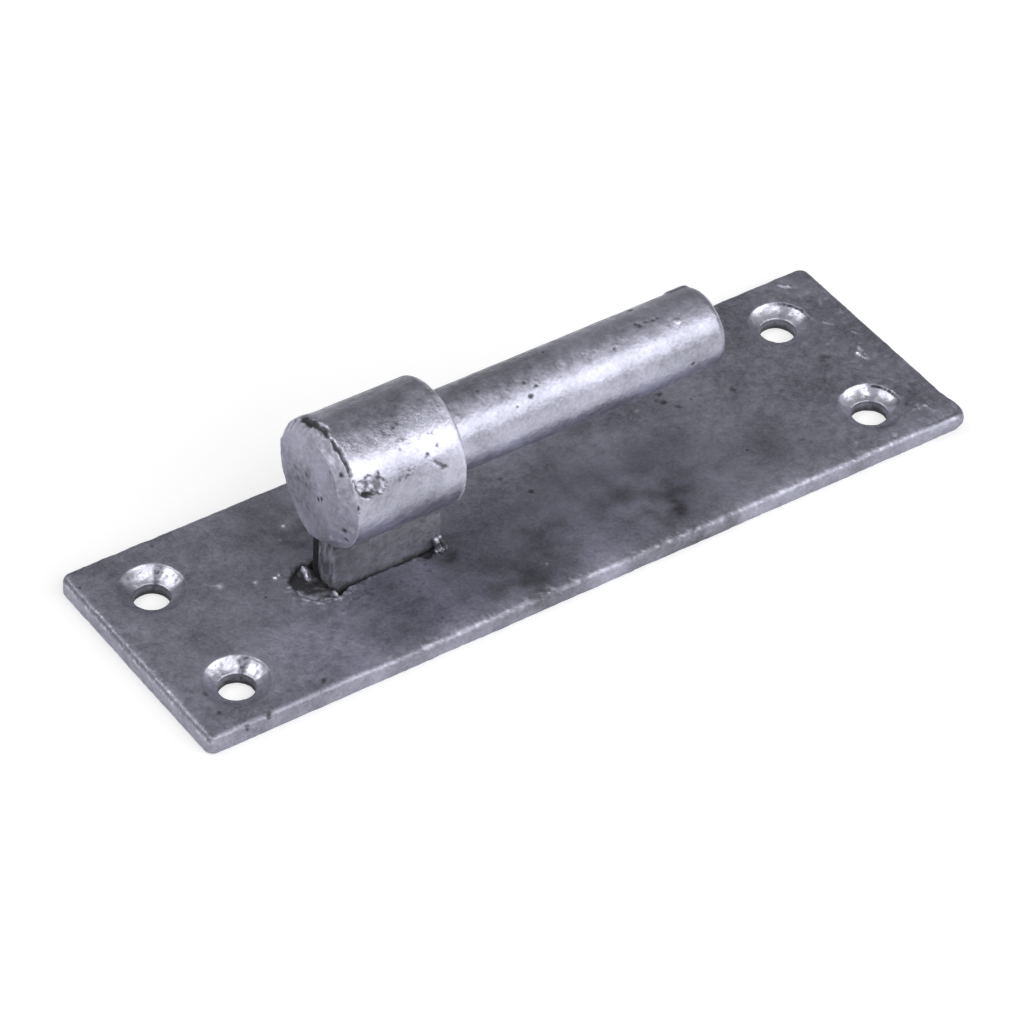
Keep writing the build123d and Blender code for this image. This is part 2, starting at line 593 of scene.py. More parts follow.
def screw_hole(centre_x, centre_y, drift_x, drift_y, step):
    """Loops down one hole, with a drift of the drill and a step on the side away from the boss."""
    turn = np.linspace(0, 2 * math.pi, hole_steps, endpoint=False)
    stepped = step * ease(np.cos(turn - math.radians(38)), 0.55, 0.85)
    rim = countersink_rim(turn)
    lip = ((0.22, 0), (0.1, 0.02), (-0.04, 0.07), (-0.16, 0.16))
    rows = [(centre_x, centre_y, rim + out, plate_thickness - drop) for out, drop in lip]
    cone_top = plate_thickness - 0.22 - stepped
    cone_foot = plate_thickness - countersink_depth
    for share in np.linspace(0, 1, 12):
        radius = rim - 0.22 + share * (hole_radius + 0.05 - rim + 0.22)
        height = cone_top + (share + 0.16 * math.sin(math.pi * share)) * (cone_foot - cone_top)
        middle = (centre_x + share * drift_x, centre_y + share * drift_y)
        rows.append((*middle, radius, height))
    rows += [(*middle, hole_radius, height) for height in (cone_foot - 0.15, 1.6, 0.8, 0.15)]
    rows.append((*middle, hole_radius + 0.12, 0))
    return [at_height(circle(x, y, radius, hole_steps), height) for x, y, radius, height in rows]


hole_drifts = {(-1, 1): (-0.35, -0.50), (1, 1): (-0.30, 0.15)}
holes, hole_centres = [], []
for side_x in (-1, 1):
    for side_y in (-1, 1):
        hole_x = set_out_x + side_x * hole_spacing_x / 2
        hole_y = set_out_y + side_y * hole_spacing_y / 2
        drift_x, drift_y = hole_drifts.get((side_x, side_y), (0, 0))
        holes.append(screw_hole(hole_x, hole_y, drift_x, drift_y, 0.3 if side_x > 0 else 0.0))
        hole_centres.append((hole_x, hole_y))
print("holes:", len(holes), "at", hole_centres)

# %% [markdown]
# ## The slot and its burnt pocket
# The neck's slot was cut before the dip, and its end away from the pin is burnt out into a round pocket
# with a raised rim. Its outline is two straight sides, a plain end, and most of a circle, made ragged
# by a little noise.

# %% The slot's outline
neck_end_x, neck_pin_end_x = -45.0, -20.7
neck_thickness = 7.5
slot_clearance = 0.35
pocket_radius, pocket_mouth = 4.9, 5.3
slot_half = neck_thickness / 2 + slot_clearance
slot_end_x = neck_pin_end_x + slot_clearance


def slot_loop(radius, ragged=0.0):
    """The slot's closed outline, with its pocket of one radius."""
    meet = math.asin(slot_half / radius)
    turn = np.linspace(meet, 2 * math.pi - meet, 110)
    arc = np.stack([neck_end_x + radius * np.cos(turn), radius * np.sin(turn)], axis=1)
    run = np.linspace(arc[0, 0], slot_end_x, 80)[1:]
    near = np.stack([run, np.full(len(run), -slot_half)], axis=1)
    rise = np.linspace(-slot_half, slot_half, 30)[1:-1]
    end = np.stack([np.full(len(rise), slot_end_x), rise], axis=1)
    far = np.stack([run[::-1], np.full(len(run), slot_half)], axis=1)
    loop = np.concatenate([arc, near, end, far])
    loop[:, 1] += set_out_y
    tugs = np.array([noise.noise_vector(Vector((x, y, 0)) / 1.7)[:2] for x, y in loop])
    fine = np.array([noise.noise_vector(Vector((x, y, 5)) / 0.6)[:2] for x, y in loop])
    return loop + ragged * (tugs + 0.4 * fine)


def slot_walls():
    """Loops from the pocket's mouth down to the back face."""
    rows = (
        (plate_thickness, pocket_mouth + 0.3, 0.5), (3.85, pocket_mouth + 0.1, 0.5),
        (3.6, pocket_mouth - 0.1, 0.45), (3.3, pocket_mouth - 0.2, 0.35), (2.9, pocket_mouth - 0.35, 0.27),
        (2.4, pocket_radius, 0.22), (1.8, pocket_radius, 0.18), (1.2, pocket_radius, 0.12),
        (0.5, pocket_radius, 0.06), (0, pocket_radius, 0.05),
    )
    return [at_height(slot_loop(radius, ragged), height) for height, radius, ragged in rows]


slot_loops = slot_walls()
print("slot:", len(slot_loops), "loops of", len(slot_loops[0]), "points")

# %% The plate's mesh
front_zones = [
    (plate_low[0], plate_high[0], plate_low[1], plate_high[1], 0.95),
    (58, plate_high[0], plate_low[1], plate_high[1], 0.42),
    (74, 84, -25, 25, 0.27),
    (35, 47, 1, 11, 0.3), (49, 55, -18, 5, 0.35), (-4, 4, -3, 7, 0.3), (29, 33, 6, 9, 0.3),
    (-84, -57, -26, -12, 0.4), (-80, -53, 3, 12, 0.35), (-68, -64, 22, 25, 0.3), (-9, -6, -21, -17, 0.3),
    (-58, -14, -17, 17, 0.32),
    (-53, -19, -8, 7, 0.24),
]
back_zones = [(plate_low[0], plate_high[0], plate_low[1], plate_high[1], 2.2)]
openings = holes + [slot_loops]
front = flat_face(edge_loops[0], [loops[0] for loops in openings], front_zones)
back = flat_face(edge_loops[-1], [loops[-1] for loops in openings], back_zones)
sides = [skin(loops) for loops in [edge_loops, slot_loops] + holes]
plate = make_piece("dipped_plate", [front, back] + sides)

# %% [markdown]
# ## Zinc on the plate
# Now the surface gets its life: long soft waves from the rolls, a lip and beads of zinc round the pocket,
# wrinkles at the pin's end where the bath ran off, and burrs along the sheared end.

# %% Relief on the plate
zinc_beads = [
    (-44.4, -6.6, 0.45, 0.2), (-43.2, -5.9, 0.6, 0.3), (-42.2, -5.2, 0.6, 0.4), (-41.4, -5.3, 0.4, 0.3),
    (-45.9, -10.6, 0.4, 0.22), (-42.6, 15.3, 0.45, 0.25), (-45.3, 12.4, 0.45, 0.22),
    (-51.4, 4.2, 0.6, 0.35), (-50.4, 4.6, 0.4, 0.25), (31.7, 7.5, 0.4, 0.25), (-55.1, 5.1, 0.6, 0.22),
    (-61.0, 7.8, 0.9, 0.22), (-62.4, 8.4, 0.35, 0.15), (-40.6, -5.2, 0.35, 0.25), (-36.9, -5.15, 0.35, 0.2),
    (-35.9, -5.2, 0.3, 0.2),
    (-30.2, -5.15, 0.35, 0.22), (-27.3, -5.2, 0.3, 0.2), (-43.0, -7.8, 0.3, 0.15), (-38.4, -8.6, 0.3, 0.15),
    (-33.6, -11.0, 0.3, 0.12), (-50.6, 0.6, 0.35, 0.2), (-47.8, -6.5, 0.35, 0.2),
    (-72.7, 8.2, 0.5, 0.2), (-7.4, -19.2, 0.35, 0.15), (61.4, -22.2, 0.45, 0.18), (69.4, -23.9, 0.6, 0.22),
    (78.2, 22.4, 0.6, 0.22), (76.9, 20.6, 0.4, 0.15), (82.3, 15.4, 0.4, 0.18), (80.6, 17.6, 0.35, 0.15),
]
zinc_pits = [
    (38.1, 9.3, 0.6, 0.3), (37.5, 6.9, 0.9, 0.3), (39.2, 4.5, 0.75, 0.28), (36.6, 7.9, 0.5, 0.25),
    (71.2, 1.3, 0.75, 0.3), (72.2, 1.0, 0.6, 0.25), (70.4, 0.6, 0.5, 0.2), (71.3, 2.2, 0.45, 0.2),
    (-20.4, -6.6, 1.2, 0.2), (-24.6, -5.0, 1.5, 0.5), (-1.3, 5.1, 0.5, 0.25), (1.6, -1.0, 0.5, 0.3),
    (50.8, 2.8, 0.5, 0.28), (44.6, 4.9, 0.4, 0.2), (43.4, 5.3, 0.35, 0.18), (53.3, -16.0, 0.4, 0.22),
    (-58.9, -23.5, 0.5, 0.3), (-78.5, -15.1, 0.5, 0.3), (-79.2, -20.7, 0.5, 0.25), (-71.8, -25.6, 0.6, 0.32),
    (-76.6, -26.0, 0.5, 0.3), (-66.0, 23.8, 0.45, 0.25), (60.7, -23.7, 0.4, 0.2),
]
zinc_scars = [
    ((77.6, -1.0), (78.2, -3.4), 0.5, 0.42), ((78.9, 0.4), (77.8, -1.0), 0.45, 0.25),
    ((81.4, 16.2), (80.6, 14.8), 0.4, 0.18), ((76.8, 23.4), (79.2, 21.4), 0.5, 0.2),
    ((82.6, 11.6), (82.2, 10.0), 0.4, 0.16), ((76.6, -20.4), (79.0, -20.2), 0.4, 0.18),
    ((79.0, -20.2), (79.6, -22.6), 0.4, 0.18), ((77.6, 9.8), (78.8, 8.2), 0.45, 0.16),
    ((74.2, 4.2), (76.6, 5.0), 0.4, 0.14), ((71.4, 21.2), (73.6, 20.6), 0.4, 0.14),
    ((80.6, 4.6), (81.8, 2.8), 0.4, 0.14),
]
print("zinc on the plate:", len(zinc_beads), "beads,", len(zinc_pits), "pits and", len(zinc_scars), "scars")


def plate_mark(centre, radius):
    """A ragged round mark on the plate's front, 1 in its middle."""
    return dome(ragged_plate, (*centre, plate_thickness), radius)


def plate_line(start, end, radius):
    """A ragged line on the plate's front, 1 along its middle."""
    return streak(ragged_plate, (*start, plate_thickness), (*end, plate_thickness), radius)


def plate_relief(points, upward):
    """How far the zinc stands in or out at each point of the plate."""
    height = 0.05 * wander(points, 17.0, 1) + 0.03 * wander(points, 3.0, 2)
    x, y, z = points.T
    from_pocket = np.hypot(x - neck_end_x, y - set_out_y)
    turn = np.degrees(np.arctan2(y - set_out_y, neck_end_x - x))
    lip = ridge(from_pocket - pocket_mouth - 0.5, 0.7) * ease(np.abs(turn + 30), 130, 70)
    height += upward * lip * (0.04 + 0.18 * wander(points, 1.6, 3))
    by_pocket = ease(from_pocket, pocket_mouth + 2.4, pocket_mouth + 0.2)
    height += upward * 0.14 * wander(points, 0.9, 10) * by_pocket
    wrinkled = upward * ease(x, 62, 76) * ease(wander(points, 7.0, 7), -0.1, 0.4)
    height += 0.13 * wrinkled * wander(points, 1.3, 4, 4)
    sides = ease(np.abs(upward), 0.95, 0.7)
    height += sides * (0.07 * wander(points, 2.6, 5) + 0.05 * wander(points, 1.0, 8))
    height += 0.75 * sides * dome(points, (82.0, -26.0, 2.4), 8.0) * ease(z, 0.6, 1.6)
    height += 0.42 * sides * dome(points * (1, 1, 0), (-84.1, -25.6, 0), 1.5) * ease(z, 0.8, 2.2)
    for *centre, radius, tall in zinc_beads:
        height += upward * tall * plate_mark(centre, radius)
    for *centre, radius, deep in zinc_pits:
        height -= 0.6 * upward * deep * plate_mark(centre, radius)
    for start, end, radius, tall in zinc_scars:
        beside = (start[0] + 0.7, start[1] + 0.5)
        height += upward * tall * plate_line(start, end, radius)
        height -= 0.7 * upward * tall * plate_line(beside, end, radius)
    return height


plate_points = places(plate)
plate_facing = facings(plate)
ragged_plate = plate_points + (shaken(plate_points, 0.4) - plate_points) * (1, 1, 0)
on_front = ease(plate_facing[:, 2], 0.8, 0.97) * (plate_points[:, 2] > plate_thickness - 0.3)
relief(plate, plate_relief(plate_points, on_front))
deepest_droop = 0.45
drooped = places(plate)
droop = ease(drooped[:, 1], -22.0, -26.2) * ease(drooped[:, 2], 1.0, 3.6) * ease(drooped[:, 0], -56, -44)
drooped[:, 2] -= deepest_droop * droop
put_back(plate, drooped)
print("the near edge droops by up to", round(deepest_droop * float(droop.max()), 2), "mm")

# %% Stains, painted shade and painted highlights on the plate
dark_patches = [
    (-12, -19.5, 12, 0.58), (-22, -9, 7, 0.54), (-2, -13, 9, 0.46), (-40.7, -19.1, 9, 0.30),
    (-43, 15, 10, 0.54), (-46, 7, 6, 0.36), (20, -17, 17, 0.56), (38, 7, 7, 0.24),
    (-34, -8, 6, 0.34), (-26, 14, 14, 0.56), (10, -7, 12, 0.30), (48, -14, 12, 0.24),
    # (84.5, -25.5) paints shade on the rounded near right corner.
    (84.5, -25.5, 2.2, 0.45), (-84.4, -25.9, 1.1, 0.60), (-68, 0, 24, 0.20),
]
edge_pits = [
    (-71.9, -26.1, 3.4, 0.6), (-76.6, -26.2, 2.8, 0.7), (-82.0, -26.2, 2.6, 0.5), (40.0, -26.2, 2.4, 0.5),
]


def step_line(points, hole_x, hole_y):
    """Painted shade: the dark line of the step in a countersink at the pin's end, 0 to 1."""
    from_hole, turn = around(points, hole_x, hole_y)
    out = from_hole - countersink_rim(np.radians(turn)) + 0.12 * wander(points, 0.8, 66)
    line = ridge(out + 0.22, 0.15) * ease(wander(points, 0.7, 67), -0.5, 0.0)
    return line * band(turn, -4, 10, 52, 64)


def plate_stain(points, facing):
    """Dark patches, pits and spots, and painted shade in the pocket, the slot, the hole bores and the
    countersinks.
    """
    x, y, z = points.T
    ragged = np.hypot(x - neck_end_x, y - set_out_y) + 1.1 * wander(points, 1.6, 11, 4)
    far_side_weight = 1 - 0.55 * ease(y, 1.5, -1.5) * (z > 3.3)
    in_slot = (x > -46) & (x < slot_end_x + 0.6) & (np.abs(y - set_out_y) < slot_half + 0.5)
    near_neck = ease(np.hypot((x + 34) / 1.6, y + 4), 13, 6)
    clouds = 1 + 0.9 * wander(points, 5.0, 6)
    specks = ease(wander(points, 0.7, 62, 4), 0.0, 0.35)
    layers = [
        # Painted shade on the first three lines: in the pocket, round its mouth but less on the near rim,
        # which faces the lamp, and in the slot's gap. The last line is the countersinks' painted dark step.
        0.95 * far_side_weight * ease(ragged, pocket_mouth + 1.0, pocket_mouth - 0.2) * (z > 1),
        0.5 * far_side_weight * ease(ragged, pocket_mouth + 2.6, pocket_mouth + 0.4) * (z > 3),
        0.9 * in_slot * ease(z, 4.05, 3.7),
        0.5 * near_neck * ease(wander(points, 1.1, 60, 4), 0.1, 0.5),
        0.14 * ease(facing[:, 2], 0.9, 0.5) * (1 + 0.9 * wander(points, 3.0, 9)),
        0.95 * plate_steps,
    ]
    for *centre, size, strength in dark_patches:
        layers += [strength * clouds * ridge(around(points, *centre)[0], size)]
    for *centre, radius, deep in zinc_pits:
        layers += [3 * deep * np.sqrt(plate_mark(centre, radius + 0.25))]
    for *centre, radius in edge_pits:
        layers += [0.85 * dome(ragged_plate, centre, radius)]
    for centre in hole_centres:
        from_hole, turn = around(points, *centre)
        # Painted shade: a dark wedge between the two painted highlights of each countersink on the left, and
        # the bore, darker towards the bottom.
        wedge = band(turn, 33, 42, 54, 66) * ease(from_hole, 6.9, 6.5) * ease(x, 0, -1)
        wall = (from_hole < hole_radius + 0.3) * ease(z, 2.5, 2.3)
        layers += [0.75 * wedge * specks, wall * (0.5 + 0.5 * ease(z, 1.2, 0.5))]
    return strongest(layers)


def plate_bright(points):
    """Painted highlights and glints: the edges, the beads, the scars, the pocket's near rim and the
    countersinks, in patches.
    """
    x, y, z = points.T
    flecked = ease(wander(points, 0.8, 51, 4), 0.15, 0.5)
    # Painted glints along the left end's top edge, a painted highlight along the near edge and, in halo, on
    # the pocket's near rim.
    left_edge = ease(np.abs(x + 84.0), 1.1, 0.3) * ease(z, 2.5, 3.2)
    near_edge = ease(np.abs(y + 25.0), 1.3, 0.4) * ease(z, 2.2, 3.0) * ease(x, -56, -44)
    halo = ridge(np.hypot(x - neck_end_x, y - set_out_y) - pocket_mouth - 1.0, 1.3)
    layers = [
        left_edge * (0.04 + 0.5 * flecked) + 0.35 * near_edge * flecked,
        0.6 * halo * flecked * ease(y, 2.0, -1.0) * (z > 3.5),
    ]
    # Painted glints on the zinc beads and scars.
    for *centre, radius, tall in zinc_beads:
        layers += [3 * tall * plate_mark(centre, radius + 0.1)]
    for start, end, radius, tall in zinc_scars:
        layers += [3 * tall * plate_line(start, end, radius)]
    patchy = 0.3 + 0.7 * ease(wander(points, 0.9, 52, 4), -0.55, -0.15)
    # Painted highlights on two sides of each countersink's cone, and none on the dark step.
    for hole_x, hole_y in hole_centres:
        from_hole, turn = around(points, hole_x, hole_y)
        rim = countersink_rim(np.radians(turn)) + 0.15 * wander(points, 1.5, 55)
        cone = ease(from_hole, rim + 0.1, rim - 0.3) * ease(z, 2.38, 2.45)
        turn += 6 * wander(points, 1.5, 54)
        long_side = band(turn, 52, 58, 112, 134)
        short_side = band(turn, -14, 0, 33, 38) * (1.0 if hole_x < 0 else 0.7)
        layers += [cone * patchy * (0.08 + np.maximum(long_side, short_side)) * (1 - plate_steps)]
    return strongest(layers)


plate_steps = strongest(step_line(plate_points, *centre) for centre in hole_centres if centre[0] > 0)
note(plate, stain=plate_stain(plate_points, plate_facing), bright=plate_bright(plate_points))
stand_for(plate, "back_plate", plate_zinc)

# %% [markdown]
# ## The boss and the pin
# Boss and pin were forged and turned as one bar, so one lathe profile makes them both, a stack of round
# loops along X. The boss's end was hammered over, so its flat isn't round: it reaches further out at
# the top, at the far side and underneath, and leaves a wide rough chamfer on the near side. Its reach
# is given for a few angles round the bar, counted from the far side over the top.

# %% Sizes of the bar
pin_height = 26.6
pin_radius, boss_radius = 8.0, 12.5
boss_end_x, shoulder_x, tip_x = -46.6, -20.7, 40.5
flat_reach = {
    0: 10.2, 15: 10.7, 24: 11.2, 50: 10.9, 107: 10.9, 116: 11.2, 132: 10.6, 145: 9.6, 157: 9.2, 173: 8.3,
    190: 7.8, 220: 8.4, 253: 10.8, 274: 11.4, 288: 10.8, 309: 9.8, 335: 9.6,
}
chamfer_length = 2.1
rim_round, root_round, tip_round = 1.2, 2.0, 2.0
bar_steps = 280


def bar_loop(x, radius):
    """One loop across the bar, with one radius or with one for each of its points."""
    ring = circle(0, pin_height, radius, bar_steps)
    return np.column_stack([np.full(bar_steps, x), ring])


def quarter_round(centre_x, centre_radius, size, first, last, steps):
    """Places (x, radius) along part of a small rounding, between two angles from the bar's axis."""
    turn = np.radians(np.linspace(first, last, steps))
    return [(centre_x + size * math.cos(t), centre_radius + size * math.sin(t)) for t in turn]


def bar_loops():
    """The whole bar, from the middle of the boss's end to the middle of the pin's tip."""
    angles = np.linspace(0, 360, bar_steps, endpoint=False)
    reach = np.interp(angles, list(flat_reach), list(flat_reach.values()), period=360)
    loops = [bar_loop(boss_end_x, share * reach) for share in np.linspace(0.004, 1, 28)]
    for share in np.linspace(0, 1, 16)[1:]:
        loops.append(bar_loop(boss_end_x + share * chamfer_length, reach + share * (boss_radius - reach)))
    boss_start = boss_end_x + chamfer_length
    profile = [(x, boss_radius) for x in np.arange(boss_start, shoulder_x - rim_round, 0.27)[1:]]
    profile += quarter_round(shoulder_x - rim_round, boss_radius - rim_round, rim_round, 90, 0, 6)
    profile += quarter_round(shoulder_x + root_round, pin_radius + root_round, root_round, 180, 270, 8)
    profile += [(x, pin_radius) for x in np.arange(shoulder_x + root_round, tip_x - tip_round, 0.4)[1:]]
    profile += quarter_round(tip_x - tip_round, pin_radius - tip_round, tip_round, 90, 0, 9)
    profile += [(tip_x, radius) for radius in np.linspace(pin_radius - tip_round, 0.02, 14)[1:]]
    return loops + [bar_loop(x, radius) for x, radius in profile]


bar = make_piece("forged_bar", [skin(bar_loops())])

# %% [markdown]
# ## Marks on the bar
# A few marks on the bar's skin make it this bar: a ragged crater on the boss's flank, a handful of
# pits, a small run of zinc at the pin's tip, and the rough chamfer. A mark is placed by how far along
# the bar it is and by its angle round it.

# %% Relief on the bar


def on_bar(x, angle, radius):
    """A place on the bar's skin: how far along, and the angle from the far side over the top."""
    turn = math.radians(angle)
    return (x, radius * math.cos(turn), pin_height + radius * math.sin(turn))


bar_pits = [
    (-25.8, 161, boss_radius, 0.6, 0.35), (-28.4, 145, boss_radius, 0.35, 0.12),
    (-26.1, 141, boss_radius, 0.3, 0.1), (-2.6, 113, pin_radius, 0.5, 0.3),
    (-0.8, 123, pin_radius, 0.4, 0.25), (-2.8, 133, pin_radius, 0.55, 0.4),
    (25.9, 62, pin_radius, 0.5, 0.3), (23.8, 96, pin_radius, 0.45, 0.25),
    (24.3, 100, pin_radius, 0.6, 0.3), (25.8, 99, pin_radius, 0.35, 0.2),
    (27.2, 101, pin_radius, 0.4, 0.25), (28.3, 100, pin_radius, 0.28, 0.15),
    (-21.6, 93, 12.3, 0.5, 0.5), (-21.5, 97, 12.3, 0.55, 0.5), (-21.2, 101, 12.1, 0.4, 0.35),
    (32.4, 183, pin_radius, 0.5, 0.3), (-11.5, 98, pin_radius, 0.4, 0.2), (17.0, 118, pin_radius, 0.35, 0.2),
    (-45.6, 201, 10.1, 0.6, 0.35), (-45.3, 213, 11.2, 0.5, 0.3), (-45.4, 133, 11.5, 0.6, 0.5),
    (-46.2, 127, 10.2, 0.5, 0.4), (-46.6, 183, 3.4, 0.35, 0.15), (-46.6, 204, 2.6, 0.45, 0.15),
]
zinc_lumps = [
    (31.3, 116, pin_radius, 0.75, 0.16), (-45.9, 233, 9.7, 0.9, 0.45), (-45.2, 195, 11.4, 0.9, 0.40),
    (-45.3, 224, 10.6, 0.7, 0.30), (-46.5, 193, 6.2, 0.4, 0.15),
]
tip_run = ((36.5, 47, pin_radius), (38.7, 47, pin_radius), 2.0, 0.30)
end_burrs = [
    ((-46.5, 105, 10.6), (-46.3, 118, 11.2), 0.4, 0.28), ((-46.4, 124, 10.7), (-46.2, 133, 10.5), 0.4, 0.28),
]
boss_scratch = ((-27.4, 153, boss_radius), (-25.8, 161, boss_radius), 0.62, 0.24)
crater_holes = [(-43.0, 156, 0.7), (-42.3, 157.5, 0.75), (-41.5, 158, 0.5)]
smudges = [
    ((-34.9, 112), (-34.3, 119), 1.0), ((-33.7, 118), (-31.4, 111), 0.9), ((-34.8, 156), (-32.0, 152), 1.0),
    ((-33.0, 125), (-32.0, 126), 0.6), ((-29.0, 146), (-28.0, 144), 0.6), ((-27.0, 128), (-26.0, 130), 0.5),
]


def bar_mark(points, place, size):
    """A round mark on the bar's skin, 1 in its middle."""
    return dome(points, on_bar(*place), size)


def bar_line(points, start, end, size):
    """A line on the bar's skin, 1 along its middle."""
    return streak(points, on_bar(*start), on_bar(*end), size)


def round_bar(points):
    """How far each point lies from the bar's axis, and its angle, from the far side over the top."""
    return around(points[:, 1:], 0, pin_height)


def on_shoulder(points):
    """The boss's rim beside the pin, 0 to 1."""
    from_axis, _ = round_bar(points)
    return ease(points[:, 0], shoulder_x - 1.6, shoulder_x - 0.8) * ease(from_axis, 10.6, 11.4)


def crater(points):
    """The ragged hole in the boss's flank: 0 outside it, 1 in its floor, and its ragged border."""
    along = (points[:, 0] + 40.9) / 3.0
    round_it = (round_bar(points)[1] - 151.5) / 8.5
    distance = np.hypot(along, round_it) + 0.42 * wander(points, 1.4, 15, 4)
    return ease(distance, 1.05, 0.8), ridge(distance - 0.98, 0.13)


def end_crack(points):
    """The split where the end was hammered over the boss's skin: bold at the top, thin lower down."""
    from_axis, angle = round_bar(points)
    line = boss_end_x + chamfer_length + 0.25 + 0.5 * wander(points, 2.6, 19)
    bold = band(angle, 53, 60, 90, 106)
    middling = 0.9 * band(angle, 98, 104, 132, 142) * ease(wander(points, 1.8, 20), -0.5, -0.2)
    thin = 0.8 * band(angle, 130, 138, 172, 180) * ease(wander(points, 1.5, 20), -0.2, 0.1)
    width = 0.20 + (0.42 * bold + 0.18 * middling) * (1 + 1.2 * wander(points, 1.2, 26))
    return strongest([bold, middling, thin]) * ridge(points[:, 0] - line, width) * (from_axis > 11)


def bar_relief(points, facing):
    """Waves, grain, pits, runs, the rough chamfer, the crater and the crack."""
    height = 0.05 * wander(points, 9.0, 11) + 0.035 * wander(points, 2.0, 12)
    on_end = ease(facing[:, 0], -0.2, -0.5)
    rough_end = ease(facing[:, 0], -0.95, -0.85) * on_end
    hammered = 0.16 - 0.09 * ease(facing[:, 1], -0.1, -0.5) * ease(facing[:, 2], 0.2, -0.2)
    height += hammered * rough_end * wander(points, 1.3, 13, 4) + 0.045 * on_end * wander(points, 1.3, 14, 4)
    height += 0.07 * on_shoulder(points) * wander(points, 1.1, 28)
    for *place, size, deep in bar_pits:
        height -= 0.6 * deep * bar_mark(ragged_bar, place, size + 0.1)
    for *place, size, tall in zinc_lumps:
        height += tall * bar_mark(points, place, size)
    for start, end, size, tall in end_burrs:
        height += tall * bar_line(points, start, end, size)
    start, end, size, tall = tip_run
    height += tall * ease(bar_line(points, start, end, size), 0.0, 0.7)
    start, end, size, deep = boss_scratch
    height -= deep * bar_line(ragged_bar, start, end, size)
    height -= crater_floor * (0.28 - 0.28 * wander(points, 1.1, 16)) - 0.06 * crater_border
    height -= 0.55 * np.minimum(crater_pit, 1) + 0.6 * crack
    burr = 0.28 * ridge(points[:, 0] + 43.4, 1.6)
    return height + burr * band(round_bar(points)[1], 15, 35, 75, 95)


bar_points = places(bar)
bar_facing = facings(bar)
ragged_bar = shaken(bar_points, 0.3)
crater_floor, crater_border = crater(bar_points)
crater_pit = sum(bar_mark(ragged_bar, (*place, boss_radius), size) for *place, size in crater_holes)
crack = end_crack(bar_points)
heights = bar_relief(bar_points, bar_facing)
relief(bar, heights)
print("deepest mark on the bar", round(float(heights.min()), 2), "mm")

# %% Stains, painted shade and painted highlights on the bar


def bar_stain(points, facing):
    """Dark specks, a scratch, streaks and a smudge; painted shade in the crater, the crack, on the end, far
    top and underside.
    """
    on_end = ease(facing[:, 0], -0.4, -0.8)
    smudge = np.sqrt(bar_mark(points, (boss_end_x, 15, 2.2), 5.0)) * on_end
    flecked = ease(wander(points, 0.7, 18, 4), -0.15, 0.35)
    start, end, size, _ = boss_scratch
    layers = [
        crater_floor * (0.26 + 0.34 * ease(wander(points, 1.1, 16), 0.0, -0.35)),
        # Painted shade on the next four lines: the crater's border and holes, the crack, and faintly the
        # whole end.
        0.9 * crater_border * ease(wander(points, 1.4, 17), -0.35, 0.1),
        1.6 * crater_pit,
        1.6 * crack,
        0.11 * on_end * (1 + wander(points, 3.0, 61)),
        smudge * (0.17 + 0.5 * wander(points, 1.3, 65, 4)),
        0.8 * bar_line(ragged_bar, start, end, size),
        # Painted shade on the next two lines: the bar's far upper side and the boss's underside.
        0.32 * band(round_bar(points)[1], 35, 55, 63, 76) * ease(facing[:, 0], -0.4, -0.1),
        0.45 * ease(facing[:, 2], -0.35, -0.9) * (points[:, 0] < shoulder_x + 1),
    ]
    for *place, size, _ in bar_pits:
        layers += [0.95 * bar_mark(ragged_bar, place, size + 0.2) ** 0.7]
    for start, end, size in smudges:
        line = bar_line(points, (*start, boss_radius), (*end, boss_radius), size)
        layers += [0.75 * flecked * np.sqrt(line)]
    return np.clip(strongest(layers), 0, 1)


def bar_bright(points, facing):
    """Painted highlights and glints on the chamfer, burrs, shoulder's rim, lumps and a band of the flank;
    pale patches on end and crater.
    """
    x_facing = facing[:, 0]
    # Painted highlights on the chamfer where it faces up and where it faces the near side.
    upper_chamfer = band(x_facing, -0.95, -0.8, -0.4, -0.2) * ease(facing[:, 2], 0.0, 0.4)
    near_chamfer = band(x_facing, -0.95, -0.85, -0.4, -0.2) * ease(facing[:, 1], -0.1, -0.3)
    # A painted highlight in a band along the boss's flank.
    flank = band(round_bar(points)[1], 112, 127, 130, 148) * (points[:, 0] < shoulder_x - 1)
    flank *= 1 + 0.9 * wander(points, 3.5, 64, 4)
    # The shoulder's rim gets a painted highlight, the lumps and burrs painted glints.
    layers = [
        0.20 * ease(x_facing, -0.4, -0.8) * wander(points, 1.2, 53, 4),
        upper_chamfer * (0.24 + 0.5 * wander(points, 1.0, 56, 4)),
        near_chamfer * (0.20 + 0.4 * wander(points, 1.0, 57, 4)),
        0.6 * on_shoulder(points) * (1 + 0.7 * wander(points, 1.6, 58, 4)),
        0.8 * crater_floor * ease(wander(points, 1.1, 16), 0.12, 0.35),
        0.24 * flank * ease(x_facing, -0.3, -0.1),
    ]
    for *place, size, _ in zinc_lumps:
        layers += [0.25 * bar_mark(points, place, size)]
    for start, end, size, _ in end_burrs:
        layers += [0.6 * bar_line(points, start, end, size)]
    return strongest(layers)


stain = bar_stain(bar_points, bar_facing)
bright = bar_bright(bar_points, bar_facing) * (1 - stain)
matt = strongest([ease(bar_facing[:, 0], -0.15, -0.4), on_shoulder(bar_points), 0.7 * crater_floor])
note(bar, stain=stain, bright=bright, matt=matt)
stand_for(bar, "hinge_pin", forged_zinc)

# %% [markdown]
# ## The neck
# The neck is the flat under the boss. It is a stack of rounded rectangles, one for each height. Near the
# top its two sides curve outwards and meet the round of the boss without a corner, as in any forging.

# %% The neck's sides
neck_foot, neck_top = 0.9, 17.2
neck_round = 0.8
flare = 2.5
neck_middle_x = (neck_end_x + neck_pin_end_x) / 2


